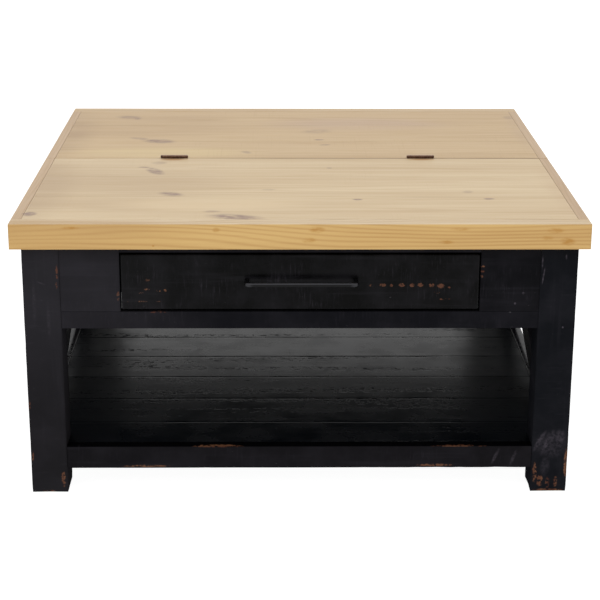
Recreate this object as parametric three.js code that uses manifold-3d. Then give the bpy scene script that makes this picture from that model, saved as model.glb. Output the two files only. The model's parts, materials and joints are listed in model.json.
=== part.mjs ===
// Flip-top farmhouse coffee table, in millimetres.
// X runs along the front, Y from the front to the back, Z up from the floor.
//
// A square pine top is cut in two across the middle. The front half is fixed over a drawer.
// The rear half is a lid on two butt hinges over a storage well. Painted legs, aprons and
// rails carry them, with a plank shelf below and an X brace in each side.

import * as THREE from 'three';
import { mergeVertices } from 'three/addons/utils/BufferGeometryUtils.js';
import Module from 'manifold-3d';

const manifold = await Module();
manifold.setup();

// ---------------------------------------------------------------- driving dimensions

const TOP_SIZE = 914;
const HEIGHT = 463;
const EDGING_HEIGHT = 41;
const END_EDGING_WIDTH = 30;
const SIDE_EDGING_WIDTH = 16;
const PLANK_THICKNESS = 22;
const PLANKS_PER_HALF = 3;
const SEAM_HALF_GAP = 1;
const TOP_OVERHANG = 16;

const LEG_SIZE = 59;
const APRON_THICKNESS = 20;
const APRON_BOTTOM = 286;
const RAIL_BOTTOM = 43.5;
const RAIL_TOP = 81;
const RAIL_THICKNESS = 37;
const RAIL_LIP = 14;
const SIDE_RAIL_PROUD = 5;
const RAIL_LEDGE_TOP = 61;
const FRONT_RAIL_LIP = 20;

const SHELF_THICKNESS = 18;
const SHELF_PLANKS = 8;
const SHELF_PLANK_PITCH = 110;
const SHELF_BEARER_WIDTH = 44;

const BRACE_THICKNESS = 22;
const BRACE_END_NEAR = 207;
const BRACE_END_FAR = 331;
const BRACE_LAP_PLAY = 1;

const DRAWER_RAIL_TOP = 314;
const DRAWER_OPENING_HALF = 287;
const DRAWER_TOP_RAIL_BOTTOM = 406;
const DRAWER_LIP_BOTTOM = 412.7;
const DRAWER_FRONT_HALF = 284;
const DRAWER_FRONT_BOTTOM = 318;
const DRAWER_FRONT_TOP = 409.5;
const DRAWER_BOX_HALF = 275;
const DRAWER_BOX_TOP = 400;
const DRAWER_BOX_BACK = -11;
const DRAWER_BOARD = 12;
const DRAWER_BOTTOM_LOW = 326;
const DRAWER_BOTTOM_THICKNESS = 6;
const RUNNER_BOTTOM = 340;
const RUNNER_TOP = 405;
const RUNNER_INNER = 277;
const RUNNER_OUTER = 305;
const TONGUE_REACH = 268;
const TONGUE_BOTTOM = 362;
const TONGUE_TOP = 378;
const TONGUE_PLAY = 0.6;

const DIVIDER_THICKNESS = 18;
const WELL_FLOOR_LOW = 296;
const WELL_FLOOR_THICKNESS = 9;
const GROOVE_DEPTH = 8;
const BATTEN_WIDTH = 60;
const BATTEN_END = 12;

const PULL_LENGTH = 181;
const PULL_STAND_OFF = 26;
const PULL_BAR = 6.2;
const PULL_DEPTH = 10;
const PULL_OUTER_RADIUS = 9;
const PULL_INNER_RADIUS = 3;
const PULL_CENTRE_X = 1.8;
const PULL_CENTRE_Z = 366;

const HINGE_X = 224;
const HINGE_LENGTH = 48;
const HINGE_END_KNUCKLE = 11;
const HINGE_KNUCKLE_GAP = 0.3;
const HINGE_PIN_RISE = 3.1;
const KNUCKLE_RADIUS = 2.9;
const KNUCKLE_BORE = 1.5;
const PIN_RADIUS = 1.3;
const PIN_HEAD_RADIUS = 2.2;
const PIN_HEAD_THICKNESS = 0.7;
const LEAF_THICKNESS = 1.5;
const LEAF_HALF_GAP = 0.25;
const LEAF_DROP = 19;

const FIT_GAP = 0.3;
const EDGE_BEVEL = 1.5;
const FINE_BEVEL = 0.7;
const TIGHT_BEVEL = 0.3;
const ROUND_SEGMENTS = 24;

// ---------------------------------------------------------------- derived levels and planes

const TOP_HALF = TOP_SIZE / 2;
const TOP_UNDERSIDE = HEIGHT - EDGING_HEIGHT;
const PLANK_UNDERSIDE = HEIGHT - PLANK_THICKNESS;
const FRAME_HALF = TOP_HALF - TOP_OVERHANG;
const LEG_INNER = FRAME_HALF - LEG_SIZE;
const BETWEEN_LEGS = LEG_INNER - FIT_GAP;
const APRON_INNER = FRAME_HALF - APRON_THICKNESS;
const FRAME_TOP = TOP_UNDERSIDE - FIT_GAP;
const LEDGE_INNER = FRAME_HALF - RAIL_THICKNESS;
const PULL_BEYOND_TOP = PULL_STAND_OFF - TOP_OVERHANG;

// ---------------------------------------------------------------- finishes

const pine = new THREE.MeshStandardMaterial({ color: 0xd2bb98, roughness: 0.55, metalness: 0 });
const pineEdging = new THREE.MeshStandardMaterial({ color: 0xcda66a, roughness: 0.55, metalness: 0 });
const barePine = new THREE.MeshStandardMaterial({ color: 0xc9a979, roughness: 0.75, metalness: 0 });
const blackPaint = new THREE.MeshStandardMaterial({ color: 0x1a191c, roughness: 0.4, metalness: 0 });
const hingeSteel = new THREE.MeshStandardMaterial({ color: 0x4b2f1e, roughness: 0.6, metalness: 0.7 });
const blackIron = new THREE.MeshStandardMaterial({ color: 0x121214, roughness: 0.45, metalness: 0.6 });

// ---------------------------------------------------------------- shape helpers

const table = new THREE.Group();
table.position.y = PULL_BEYOND_TOP / 2;

function addPiece(name, geometry, finish) {
  const mesh = new THREE.Mesh(geometry, finish.clone());
  mesh.name = name;
  table.add(mesh);
  return mesh;
}

function outline(points) {
  return new THREE.Shape(points.map(([u, v]) => new THREE.Vector2(u, v)));
}

// Extrudes an outline from 0 to depth along its own +Z, with bevels that stay inside the size.
function slab(shape, depth, bevel) {
  const geometry = new THREE.ExtrudeGeometry(shape, {
    depth: depth - 2 * bevel,
    bevelEnabled: true,
    bevelThickness: bevel,
    bevelSize: bevel,
    bevelOffset: -bevel,
    bevelSegments: 1,
    curveSegments: 6,
  });
  return geometry.translate(0, 0, bevel);
}

function boxShape([x0, x1], [y0, y1], [z0, z1], bevel) {
  const halfX = (x1 - x0) / 2;
  const halfY = (y1 - y0) / 2;
  const corners = [[-halfX, -halfY], [halfX, -halfY], [halfX, halfY], [-halfX, halfY]];
  const geometry = slab(outline(corners), z1 - z0, bevel);
  return geometry.translate(halfX + x0, halfY + y0, z0);
}

// A straight board given by its extent along X, Y and Z, placed by its centre.
function board(name, x, y, z, finish, bevel = EDGE_BEVEL) {
  const centre = [x, y, z].map(([low, high]) => (low + high) / 2);
  const geometry = boxShape(x, y, z, bevel).translate(...centre.map((value) => -value));
  const mesh = addPiece(name, geometry, finish);
  mesh.position.set(...centre);
  return mesh;
}

// Turns a slab so that its outline lies in the plane of two axes and its depth along a third.
function turned(geometry, outlineX, outlineY) {
  const basis = new THREE.Matrix4().makeBasis(
    outlineX, outlineY, new THREE.Vector3().crossVectors(outlineX, outlineY));
  return geometry.applyMatrix4(basis);
}

const ALONG_X = new THREE.Vector3(1, 0, 0);
const ALONG_Y = new THREE.Vector3(0, 1, 0);
const ALONG_Z = new THREE.Vector3(0, 0, 1);
const TOWARD_FRONT = new THREE.Vector3(0, -1, 0);

function toSolid(geometry) {
  const bare = geometry.clone();
  bare.deleteAttribute('normal');
  bare.deleteAttribute('uv');
  const merged = mergeVertices(bare, 1e-4);
  return new manifold.Manifold(new manifold.Mesh({
    numProp: 3,
    vertProperties: Float32Array.from(merged.attributes.position.array),
    triVerts: Uint32Array.from(merged.index.array),
  }));
}

function toGeometry(solid) {
  const result = solid.getMesh();
  const geometry = new THREE.BufferGeometry();
  geometry.setAttribute('position', new THREE.BufferAttribute(Float32Array.from(result.vertProperties), 3));
  geometry.setIndex(new THREE.BufferAttribute(Uint32Array.from(result.triVerts), 1));
  return geometry;
}

// Cuts a sharp box, given in table coordinates, out of a piece that is already placed.
function cutBox(mesh, x, y, z) {
  const cutter = new THREE.BoxGeometry(x[1] - x[0], y[1] - y[0], z[1] - z[0]);
  cutter.translate((x[0] + x[1]) / 2, (y[0] + y[1]) / 2, (z[0] + z[1]) / 2);
  cutter.translate(-mesh.position.x, -mesh.position.y, -mesh.position.z);
  mesh.geometry = toGeometry(toSolid(mesh.geometry).subtract(toSolid(cutter)));
}

// An extent on one side of the middle plane: side is -1 or +1, and near and far are distances.
function mirrored(side, near, far) {
  return side < 0 ? [-far, -near] : [near, far];
}

const SIDES = [{ side: -1, word: 'left' }, { side: 1, word: 'right' }];
const ENDS = [{ side: -1, word: 'front' }, { side: 1, word: 'back' }];

// ---------------------------------------------------------------- legs, aprons and rails

for (const end of ENDS) {
  for (const flank of SIDES) {
    board(`leg_${end.word}_${flank.word}`,
      mirrored(flank.side, LEG_INNER, FRAME_HALF),
      mirrored(end.side, LEG_INNER, FRAME_HALF),
      [0, FRAME_TOP], blackPaint, FINE_BEVEL);
  }
}

const wellFloorGroove = [
  WELL_FLOOR_LOW - FIT_GAP,
  WELL_FLOOR_LOW + WELL_FLOOR_THICKNESS + FIT_GAP,
];

for (const { side, word } of SIDES) {
  board(`front_panel_${word}`,
    mirrored(side, DRAWER_OPENING_HALF, BETWEEN_LEGS),
    [-FRAME_HALF, -APRON_INNER],
    [DRAWER_RAIL_TOP + FIT_GAP, FRAME_TOP], blackPaint, TIGHT_BEVEL);

  const apron = board(`side_apron_${word}`,
    mirrored(side, APRON_INNER, FRAME_HALF),
    [-BETWEEN_LEGS, BETWEEN_LEGS],
    [APRON_BOTTOM, FRAME_TOP], blackPaint);
  cutBox(apron,
    mirrored(side, APRON_INNER - 1, APRON_INNER + GROOVE_DEPTH),
    [0, LEG_INNER],
    wellFloorGroove);
}

const backApron = board('back_apron',
  [-BETWEEN_LEGS, BETWEEN_LEGS],
  [APRON_INNER, FRAME_HALF],
  [APRON_BOTTOM, FRAME_TOP], blackPaint);
cutBox(backApron,
  [-LEG_INNER, LEG_INNER],
  [APRON_INNER - 1, APRON_INNER + GROOVE_DEPTH],
  wellFloorGroove);

// A bottom rail has a ledge cut along its inner edge, and the shelf planks lie on the ledge.
function ledgeRail(name, side, outer, lip, across) {
  const profile = [
    [outer, RAIL_BOTTOM],
    [outer, RAIL_TOP],
    [FRAME_HALF - lip, RAIL_TOP],
    [FRAME_HALF - lip, RAIL_LEDGE_TOP],
    [LEDGE_INNER, RAIL_LEDGE_TOP],
    [LEDGE_INNER, RAIL_BOTTOM],
  ].map(([offset, level]) => [side * offset, level]);
  const geometry = slab(outline(profile), 2 * BETWEEN_LEGS, FINE_BEVEL).translate(0, 0, -BETWEEN_LEGS);
  addPiece(name, turned(geometry, across, ALONG_Z), blackPaint);
}

for (const { side, word } of SIDES) {
  ledgeRail(`side_rail_${word}`, side, FRAME_HALF + SIDE_RAIL_PROUD, RAIL_LIP, ALONG_X);
}
for (const { side, word } of ENDS) {
  ledgeRail(`${word}_rail`, side, FRAME_HALF, FRONT_RAIL_LIP, ALONG_Y);
}

// ---------------------------------------------------------------- shelf

board('shelf_bearer',
  [-SHELF_BEARER_WIDTH / 2, SHELF_BEARER_WIDTH / 2],
  [-LEDGE_INNER + FIT_GAP, LEDGE_INNER - FIT_GAP],
  [RAIL_BOTTOM, RAIL_LEDGE_TOP], blackPaint);

const shelfEndX = FRAME_HALF - RAIL_LIP - FIT_GAP;
const shelfEndY = FRAME_HALF - FRONT_RAIL_LIP - FIT_GAP;

// The first and last planks are notched around the legs.
function notchedPlank(side, near) {
  const corners = [
    [-shelfEndX, near], [shelfEndX, near],
    [shelfEndX, BETWEEN_LEGS], [BETWEEN_LEGS, BETWEEN_LEGS],
    [BETWEEN_LEGS, shelfEndY], [-BETWEEN_LEGS, shelfEndY],
    [-BETWEEN_LEGS, BETWEEN_LEGS], [-shelfEndX, BETWEEN_LEGS],
  ];
  return corners.map(([x, y]) => [x, side * y]);
}

for (let index = 0; index < SHELF_PLANKS; index += 1) {
  const low = (index - SHELF_PLANKS / 2) * SHELF_PLANK_PITCH + FIT_GAP / 2;
  const high = low + SHELF_PLANK_PITCH - FIT_GAP;
  const name = `shelf_plank_${index + 1}`;
  const bottom = RAIL_LEDGE_TOP + FIT_GAP;
  if (index === 0 || index === SHELF_PLANKS - 1) {
    const side = index === 0 ? -1 : 1;
    const near = index === 0 ? -high : low;
    const geometry = slab(outline(notchedPlank(side, near)), SHELF_THICKNESS, FINE_BEVEL);
    addPiece(name, geometry, blackPaint).position.z = bottom;
  } else {
    board(name, [-shelfEndX, shelfEndX], [low, high], [bottom, bottom + SHELF_THICKNESS],
      blackPaint, FINE_BEVEL);
  }
}

// ---------------------------------------------------------------- side braces

// One arm leans from low at its foot to high at its head, and both ends are cut level.
function braceArm(lean, growth) {
  const low = RAIL_TOP + FIT_GAP;
  const high = APRON_BOTTOM - FIT_GAP;
  const far = BRACE_END_FAR + growth;
  const near = BRACE_END_NEAR - growth;
  return outline([
    [-lean * far, low], [-lean * near, low],
    [lean * far, high], [lean * near, high],
  ]);
}

// The two arms cross in a half lap: each is cut away to half its thickness where they meet.
for (const { side, word } of SIDES) {
  const inner = side < 0 ? -FRAME_HALF : FRAME_HALF - BRACE_THICKNESS;
  const middle = inner + BRACE_THICKNESS / 2;
  for (const lean of [1, -1]) {
    const arm = turned(slab(braceArm(lean, 0), BRACE_THICKNESS, FINE_BEVEL), ALONG_Y, ALONG_Z);
    arm.translate(inner, 0, 0);
    const lap = turned(slab(braceArm(-lean, BRACE_LAP_PLAY), BRACE_THICKNESS, 0), ALONG_Y, ALONG_Z);
    lap.translate(middle - (lean > 0 ? FIT_GAP / 2 : BRACE_THICKNESS - FIT_GAP / 2), 0, 0);
    const solid = toSolid(arm).subtract(toSolid(lap));
    addPiece(`side_brace_${word}_${lean > 0 ? 'rising' : 'falling'}`, toGeometry(solid), blackPaint);
  }
}

// ---------------------------------------------------------------- drawer bay

board('drawer_rail',
  [-BETWEEN_LEGS, BETWEEN_LEGS],
  [-FRAME_HALF, -APRON_INNER],
  [APRON_BOTTOM, DRAWER_RAIL_TOP], blackPaint, TIGHT_BEVEL);

// The top rail is rebated: the drawer front closes under its lip, which fits between the panels.
const drawerTopRail = board('drawer_top_rail',
  [-BETWEEN_LEGS, BETWEEN_LEGS],
  [-FRAME_HALF, -LEG_INNER],
  [DRAWER_TOP_RAIL_BOTTOM, FRAME_TOP], blackPaint, TIGHT_BEVEL);
const rebate = [-FRAME_HALF - 1, -APRON_INNER + FIT_GAP];
cutBox(drawerTopRail, [-FRAME_HALF, FRAME_HALF], rebate, [DRAWER_TOP_RAIL_BOTTOM - 1, DRAWER_LIP_BOTTOM]);
for (const { side } of SIDES) {
  cutBox(drawerTopRail,
    mirrored(side, DRAWER_OPENING_HALF - FIT_GAP, FRAME_HALF),
    rebate,
    [DRAWER_TOP_RAIL_BOTTOM - 1, FRAME_TOP + 1]);
}

const divider = board('well_divider',
  [-APRON_INNER + FIT_GAP, APRON_INNER - FIT_GAP],
  [-DIVIDER_THICKNESS / 2, DIVIDER_THICKNESS / 2],
  [APRON_BOTTOM, PLANK_UNDERSIDE - FIT_GAP], blackPaint);
cutBox(divider,
  [-FRAME_HALF, FRAME_HALF],
  [DIVIDER_THICKNESS / 2 - GROOVE_DEPTH, DIVIDER_THICKNESS / 2 + 1],
  wellFloorGroove);

// The drawer hangs from a tongue on each runner, which fits a groove in the drawer side.
const runnerFront = -APRON_INNER + FIT_GAP;
const runnerBack = -DIVIDER_THICKNESS / 2 - FIT_GAP;

for (const { side, word } of SIDES) {
  const profile = [
    [RUNNER_INNER, RUNNER_BOTTOM], [RUNNER_OUTER, RUNNER_BOTTOM],
    [RUNNER_OUTER, RUNNER_TOP], [RUNNER_INNER, RUNNER_TOP],
    [RUNNER_INNER, TONGUE_TOP], [TONGUE_REACH, TONGUE_TOP],
    [TONGUE_REACH, TONGUE_BOTTOM], [RUNNER_INNER, TONGUE_BOTTOM],
  ].map(([x, z]) => [side * x, z]);
  const geometry = slab(outline(profile), runnerBack - runnerFront, FINE_BEVEL);
  turned(geometry, ALONG_X, ALONG_Z).translate(0, runnerBack, 0);
  addPiece(`drawer_runner_${word}`, geometry, barePine);
}

// ---------------------------------------------------------------- storage well floor

const wellEdge = APRON_INNER + GROOVE_DEPTH - FIT_GAP;
const wellFloorCorners = [
  [-wellEdge, DIVIDER_THICKNESS / 2 - GROOVE_DEPTH + FIT_GAP],
  [wellEdge, DIVIDER_THICKNESS / 2 - GROOVE_DEPTH + FIT_GAP],
  [wellEdge, BETWEEN_LEGS], [BETWEEN_LEGS, BETWEEN_LEGS],
  [BETWEEN_LEGS, wellEdge], [-BETWEEN_LEGS, wellEdge],
  [-BETWEEN_LEGS, BETWEEN_LEGS], [-wellEdge, BETWEEN_LEGS],
];
const wellFloor = slab(outline(wellFloorCorners), WELL_FLOOR_THICKNESS, FINE_BEVEL);
addPiece('well_floor', wellFloor, blackPaint).position.z = WELL_FLOOR_LOW;

// ---------------------------------------------------------------- the two halves of the top

const hingeAxisZ = HEIGHT + HINGE_PIN_RISE;
const mortiseBack = LEAF_HALF_GAP + LEAF_THICKNESS + FIT_GAP;
const mortiseHalf = HINGE_LENGTH / 2 + FIT_GAP;

for (const half of [{ side: -1, word: 'top' }, { side: 1, word: 'lid' }]) {
  const { side, word } = half;
  const endEdging = TOP_HALF - END_EDGING_WIDTH;
  const sideEdging = TOP_HALF - SIDE_EDGING_WIDTH;
  const pitch = endEdging / PLANKS_PER_HALF;

  for (let index = 0; index < PLANKS_PER_HALF; index += 1) {
    const near = index === 0 ? SEAM_HALF_GAP : index * pitch + FIT_GAP / 2;
    const far = (index + 1) * pitch - FIT_GAP;
    const plank = board(`${word}_plank_${index + 1}`,
      [-sideEdging + FIT_GAP, sideEdging - FIT_GAP],
      mirrored(side, near, far),
      [PLANK_UNDERSIDE, HEIGHT], pine, TIGHT_BEVEL);
    if (index === 0) {
      for (const flank of SIDES) {
        const x = flank.side * HINGE_X;
        cutBox(plank,
          [x - mortiseHalf, x + mortiseHalf],
          mirrored(side, 0, mortiseBack),
          [HEIGHT - LEAF_DROP - FIT_GAP, HEIGHT + 1]);
      }
    }
  }

  board(`${word}_edging_${side < 0 ? 'front' : 'back'}`,
    [-TOP_HALF, TOP_HALF],
    mirrored(side, endEdging, TOP_HALF),
    [TOP_UNDERSIDE, HEIGHT], pineEdging, TIGHT_BEVEL);

  for (const flank of SIDES) {
    board(`${word}_edging_${flank.word}`,
      mirrored(flank.side, sideEdging, TOP_HALF),
      mirrored(side, SEAM_HALF_GAP, endEdging - FIT_GAP),
      [TOP_UNDERSIDE, HEIGHT], pine, TIGHT_BEVEL);
    board(`${word}_batten_${flank.word}`,
      mirrored(flank.side, sideEdging - BATTEN_WIDTH, sideEdging - FIT_GAP),
      mirrored(side, BATTEN_END, endEdging - FIT_GAP),
      [TOP_UNDERSIDE, PLANK_UNDERSIDE - FIT_GAP], barePine, FINE_BEVEL);
  }
}

// ---------------------------------------------------------------- butt hinges

// A knuckle is a bored barrel along X, made solid first and bored after it joins its leaf.
function barrel(radius, from, to) {
  const geometry = new THREE.CylinderGeometry(radius, radius, to - from, ROUND_SEGMENTS);
  geometry.rotateZ(Math.PI / 2);
  return toSolid(geometry.translate((from + to) / 2, 0, 0));
}

// A leaf hangs from the pin axis beside the seam and is joined to its knuckles by short necks.
function hingeLeaf(side, knuckles) {
  const reach = mirrored(side, LEAF_HALF_GAP, LEAF_HALF_GAP + LEAF_THICKNESS);
  const half = HINGE_LENGTH / 2;
  const plateTop = -HINGE_PIN_RISE - 0.1;
  let solid = toSolid(boxShape([-half, half], reach, [-HINGE_PIN_RISE - LEAF_DROP, plateTop], 0.2));
  for (const [from, to] of knuckles) {
    const neck = toSolid(boxShape([from, to], reach, [plateTop - 1, -(KNUCKLE_BORE + 0.2)], 0));
    solid = solid.add(barrel(KNUCKLE_RADIUS, from, to)).add(neck);
  }
  return toGeometry(solid.subtract(barrel(KNUCKLE_BORE, -HINGE_LENGTH, HINGE_LENGTH)));
}

const innerEnd = HINGE_LENGTH / 2 - HINGE_END_KNUCKLE;
const endKnuckles = SIDES.map(({ side }) => mirrored(side, innerEnd + HINGE_KNUCKLE_GAP, HINGE_LENGTH / 2));
const middleKnuckle = [[-innerEnd, innerEnd]];

function hingePin() {
  const halfShaft = HINGE_LENGTH / 2 + HINGE_KNUCKLE_GAP;
  const profile = [
    [0, -halfShaft - PIN_HEAD_THICKNESS],
    [PIN_HEAD_RADIUS * 0.6, -halfShaft - PIN_HEAD_THICKNESS],
    [PIN_HEAD_RADIUS, -halfShaft - PIN_HEAD_THICKNESS / 2],
    [PIN_HEAD_RADIUS, -halfShaft],
    [PIN_RADIUS, -halfShaft],
    [PIN_RADIUS, halfShaft],
    [PIN_HEAD_RADIUS, halfShaft],
    [PIN_HEAD_RADIUS, halfShaft + PIN_HEAD_THICKNESS / 2],
    [PIN_HEAD_RADIUS * 0.6, halfShaft + PIN_HEAD_THICKNESS],
    [0, halfShaft + PIN_HEAD_THICKNESS],
  ].map(([radius, along]) => new THREE.Vector2(radius, along));
  return new THREE.LatheGeometry(profile, ROUND_SEGMENTS).rotateZ(Math.PI / 2);
}

for (const { side, word } of SIDES) {
  const pieces = [
    [`hinge_${word}_fixed_leaf`, hingeLeaf(-1, endKnuckles)],
    [`hinge_${word}_lid_leaf`, hingeLeaf(1, middleKnuckle)],
    [`hinge_${word}_pin`, hingePin()],
  ];
  for (const [name, geometry] of pieces) {
    addPiece(name, geometry, hingeSteel).position.set(side * HINGE_X, 0, hingeAxisZ);
  }
}

// ---------------------------------------------------------------- drawer

const boxFront = -APRON_INNER + FIT_GAP;
const boxInner = DRAWER_BOX_HALF - DRAWER_BOARD;
const bottomGroove = [
  DRAWER_BOTTOM_LOW - FIT_GAP,
  DRAWER_BOTTOM_LOW + DRAWER_BOTTOM_THICKNESS + FIT_GAP,
];
const bottomTuck = 5;

const drawerFront = board('drawer_front',
  [-DRAWER_FRONT_HALF, DRAWER_FRONT_HALF],
  [-FRAME_HALF, -APRON_INNER],
  [DRAWER_FRONT_BOTTOM, DRAWER_FRONT_TOP], blackPaint);
cutBox(drawerFront,
  [-boxInner - bottomTuck - FIT_GAP, boxInner + bottomTuck + FIT_GAP],
  [-APRON_INNER - bottomTuck - FIT_GAP, -APRON_INNER + 1],
  bottomGroove);

for (const { side, word } of SIDES) {
  const wall = board(`drawer_side_${word}`,
    mirrored(side, boxInner, DRAWER_BOX_HALF),
    [boxFront, DRAWER_BOX_BACK],
    [DRAWER_FRONT_BOTTOM, DRAWER_BOX_TOP], barePine, FINE_BEVEL);
  cutBox(wall,
    mirrored(side, boxInner - 1, boxInner + bottomTuck + FIT_GAP),
    [boxFront - 1, DRAWER_BOX_BACK + 1],
    bottomGroove);
  cutBox(wall,
    mirrored(side, TONGUE_REACH - TONGUE_PLAY, DRAWER_BOX_HALF + 1),
    [boxFront - 1, DRAWER_BOX_BACK + 1],
    [TONGUE_BOTTOM - TONGUE_PLAY, TONGUE_TOP + TONGUE_PLAY]);
}

board('drawer_back',
  [-boxInner + FIT_GAP, boxInner - FIT_GAP],
  [DRAWER_BOX_BACK - DRAWER_BOARD, DRAWER_BOX_BACK],
  [bottomGroove[1], DRAWER_BOX_TOP], barePine, FINE_BEVEL);

board('drawer_bottom',
  [-boxInner - bottomTuck, boxInner + bottomTuck],
  [-APRON_INNER - bottomTuck, DRAWER_BOX_BACK],
  [DRAWER_BOTTOM_LOW, DRAWER_BOTTOM_LOW + DRAWER_BOTTOM_THICKNESS], barePine, FINE_BEVEL);

// The pull is one flat bar bent back at both ends, standing on the drawer front.
function pullShape() {
  const half = PULL_LENGTH / 2;
  const bar = PULL_BAR;
  const back = PULL_STAND_OFF - PULL_DEPTH;
  const outer = PULL_OUTER_RADIUS;
  const inner = PULL_INNER_RADIUS;
  const shape = new THREE.Shape();
  shape.moveTo(-half, 0);
  shape.lineTo(-half, PULL_STAND_OFF - outer);
  shape.absarc(-half + outer, PULL_STAND_OFF - outer, outer, Math.PI, Math.PI / 2, true);
  shape.lineTo(half - outer, PULL_STAND_OFF);
  shape.absarc(half - outer, PULL_STAND_OFF - outer, outer, Math.PI / 2, 0, true);
  shape.lineTo(half, 0);
  shape.lineTo(half - bar, 0);
  shape.lineTo(half - bar, back - inner);
  shape.absarc(half - bar - inner, back - inner, inner, 0, Math.PI / 2, false);
  shape.lineTo(-half + bar + inner, back);
  shape.absarc(-half + bar + inner, back - inner, inner, Math.PI / 2, Math.PI, false);
  shape.lineTo(-half + bar, 0);
  shape.closePath();
  return shape;
}

const pullBody = turned(slab(pullShape(), PULL_BAR, FINE_BEVEL), ALONG_X, TOWARD_FRONT);
addPiece('drawer_pull', pullBody, blackIron)
  .position.set(PULL_CENTRE_X, -FRAME_HALF - FIT_GAP, PULL_CENTRE_Z + PULL_BAR / 2);

export default table;
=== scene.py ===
"""Looks of the flip-top coffee table: worn boards, pine, black paint, iron, light and camera."""

import json
import math

import bmesh
import bpy
from mathutils import Matrix, Vector, noise

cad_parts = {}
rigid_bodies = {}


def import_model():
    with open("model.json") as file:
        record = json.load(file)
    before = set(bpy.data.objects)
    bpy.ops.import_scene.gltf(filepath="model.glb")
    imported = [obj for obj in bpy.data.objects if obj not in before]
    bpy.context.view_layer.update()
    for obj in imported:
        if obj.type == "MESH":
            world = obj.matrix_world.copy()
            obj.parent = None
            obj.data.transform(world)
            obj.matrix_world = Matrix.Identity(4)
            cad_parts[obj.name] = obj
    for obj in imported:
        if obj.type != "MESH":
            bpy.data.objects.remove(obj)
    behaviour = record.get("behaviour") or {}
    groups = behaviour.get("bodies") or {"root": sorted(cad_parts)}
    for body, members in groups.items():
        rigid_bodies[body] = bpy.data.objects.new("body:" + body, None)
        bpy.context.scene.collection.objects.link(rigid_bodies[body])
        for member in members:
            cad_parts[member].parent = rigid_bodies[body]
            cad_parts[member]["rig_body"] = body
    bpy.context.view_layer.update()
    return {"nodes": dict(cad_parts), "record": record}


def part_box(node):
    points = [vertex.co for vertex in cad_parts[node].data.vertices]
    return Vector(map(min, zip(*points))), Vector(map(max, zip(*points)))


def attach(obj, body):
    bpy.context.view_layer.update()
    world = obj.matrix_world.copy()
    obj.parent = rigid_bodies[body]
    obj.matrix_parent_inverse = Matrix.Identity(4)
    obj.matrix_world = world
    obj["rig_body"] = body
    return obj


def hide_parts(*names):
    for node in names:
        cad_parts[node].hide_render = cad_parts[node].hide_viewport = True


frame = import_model()

MM = 0.001
AXES = {"x": 0, "y": 1, "z": 2}

# ---------------------------------------------------------------- measures taken from the frame

pull_low, pull_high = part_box("drawer_pull")

FRONT_FACE_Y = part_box("leg_front_left")[0].y
BACK_FACE_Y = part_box("leg_back_right")[1].y
MIDDLE_Y = (FRONT_FACE_Y + BACK_FACE_Y) / 2
TOP_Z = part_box("top_plank_1")[1].z
EDGING_FACE_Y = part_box("top_edging_front")[0].y
DRAWER_INNER_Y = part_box("drawer_front")[1].y

slots = {row["node"]: row["material_slot"] for row in frame["record"]["subparts"]}


def top_point(x_mm, y_mm):
    """A point on the table top, from its middle, in millimetres."""
    return Vector((x_mm * MM, MIDDLE_Y + y_mm * MM, TOP_Z))


def front_point(x_mm, z_mm):
    """A point on the plane of the legs' front faces, from the middle of the floor line."""
    return Vector((x_mm * MM, FRONT_FACE_Y, z_mm * MM))


# ---------------------------------------------------------------- worn boards

# Cuts across a board, so that its edges have points to wear: distances in from its arrises and
# ends, and the step of the extra cuts across a wide face.
RING_OFFSETS = (3.5 * MM, 9 * MM)
END_OFFSETS = (4 * MM, 10 * MM)
RING_ROOM = 1.5 * MM
WIDE_FACE = 50 * MM
WIDE_FACE_STEP = 25 * MM

# How far in from an arris its nearness is felt, how far in the wear reaches, and how deep it goes.
NEAR_EDGE = 12 * MM
WORN_REACH = 7 * MM
RUB_DEPTH = 0.9 * MM
DENT_DEPTH = 4.5 * MM

# How far up a leg, and how far in from its arrises, the foot is worn more than the rest.
FOOT_HEIGHT = 14 * MM
FOOT_REACH = 9 * MM


def spread(low, high, step):
    """Evenly spaced values strictly between low and high, about a step apart."""
    count = max(1, round((high - low) / step))
    return [low + (high - low) * i / count for i in range(1, count)]


def cut_across(bm, axis, places):
    """Cuts a mesh by planes that stand across an axis at each of the places."""
    normal = Vector((0, 0, 0))
    normal[axis] = 1
    for place in places:
        geometry = bm.verts[:] + bm.edges[:] + bm.faces[:]
        bmesh.ops.bisect_plane(bm, geom=geometry, plane_co=normal * place, plane_no=normal)


def edge_gap(point, low, high):
    """How far a surface point of a box is from the box's nearest edge."""
    gaps = sorted(min(point[i] - low[i], high[i] - point[i]) for i in range(3))
    return max(0.0, gaps[1])


def worn_depth(point, seed, chips):
    """How deep the arris is worn away at a point: long soft rubs, and short dents."""
    shift = Vector((seed * 3.1, seed * 1.7, seed * 5.3))
    rub = max(0.0, noise.noise(point * 7 + shift))
    dent = max(0.0, noise.noise(point * 45 + shift) - 0.25)
    return RUB_DEPTH * rub + DENT_DEPTH * chips * dent


def foot_depth(point, seed, height, gap):
    """How deep a leg is worn near the floor, as a share of the leg's greatest wear."""
    lift = max(0.0, 1 - height / FOOT_HEIGHT)
    ragged = 0.6 + 0.9 * noise.noise(point * 30 + Vector((seed, 0, 0)))
    return lift**2 * max(0.0, 1 - gap / FOOT_REACH) * max(0.0, ragged)


def whole_faces(node, centre, turn):
    """The CAD mesh of a board about its own centre, with each flat side as a single face."""
    bm = bmesh.new()
    bm.from_mesh(frame["nodes"][node].data)
    bmesh.ops.remove_doubles(bm, verts=bm.verts, dist=1e-5)
    bmesh.ops.dissolve_limit(bm, angle_limit=math.radians(1), verts=bm.verts, edges=bm.edges)
    bmesh.ops.transform(bm, matrix=turn @ Matrix.Translation(-centre), verts=bm.verts)
    return bm


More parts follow.
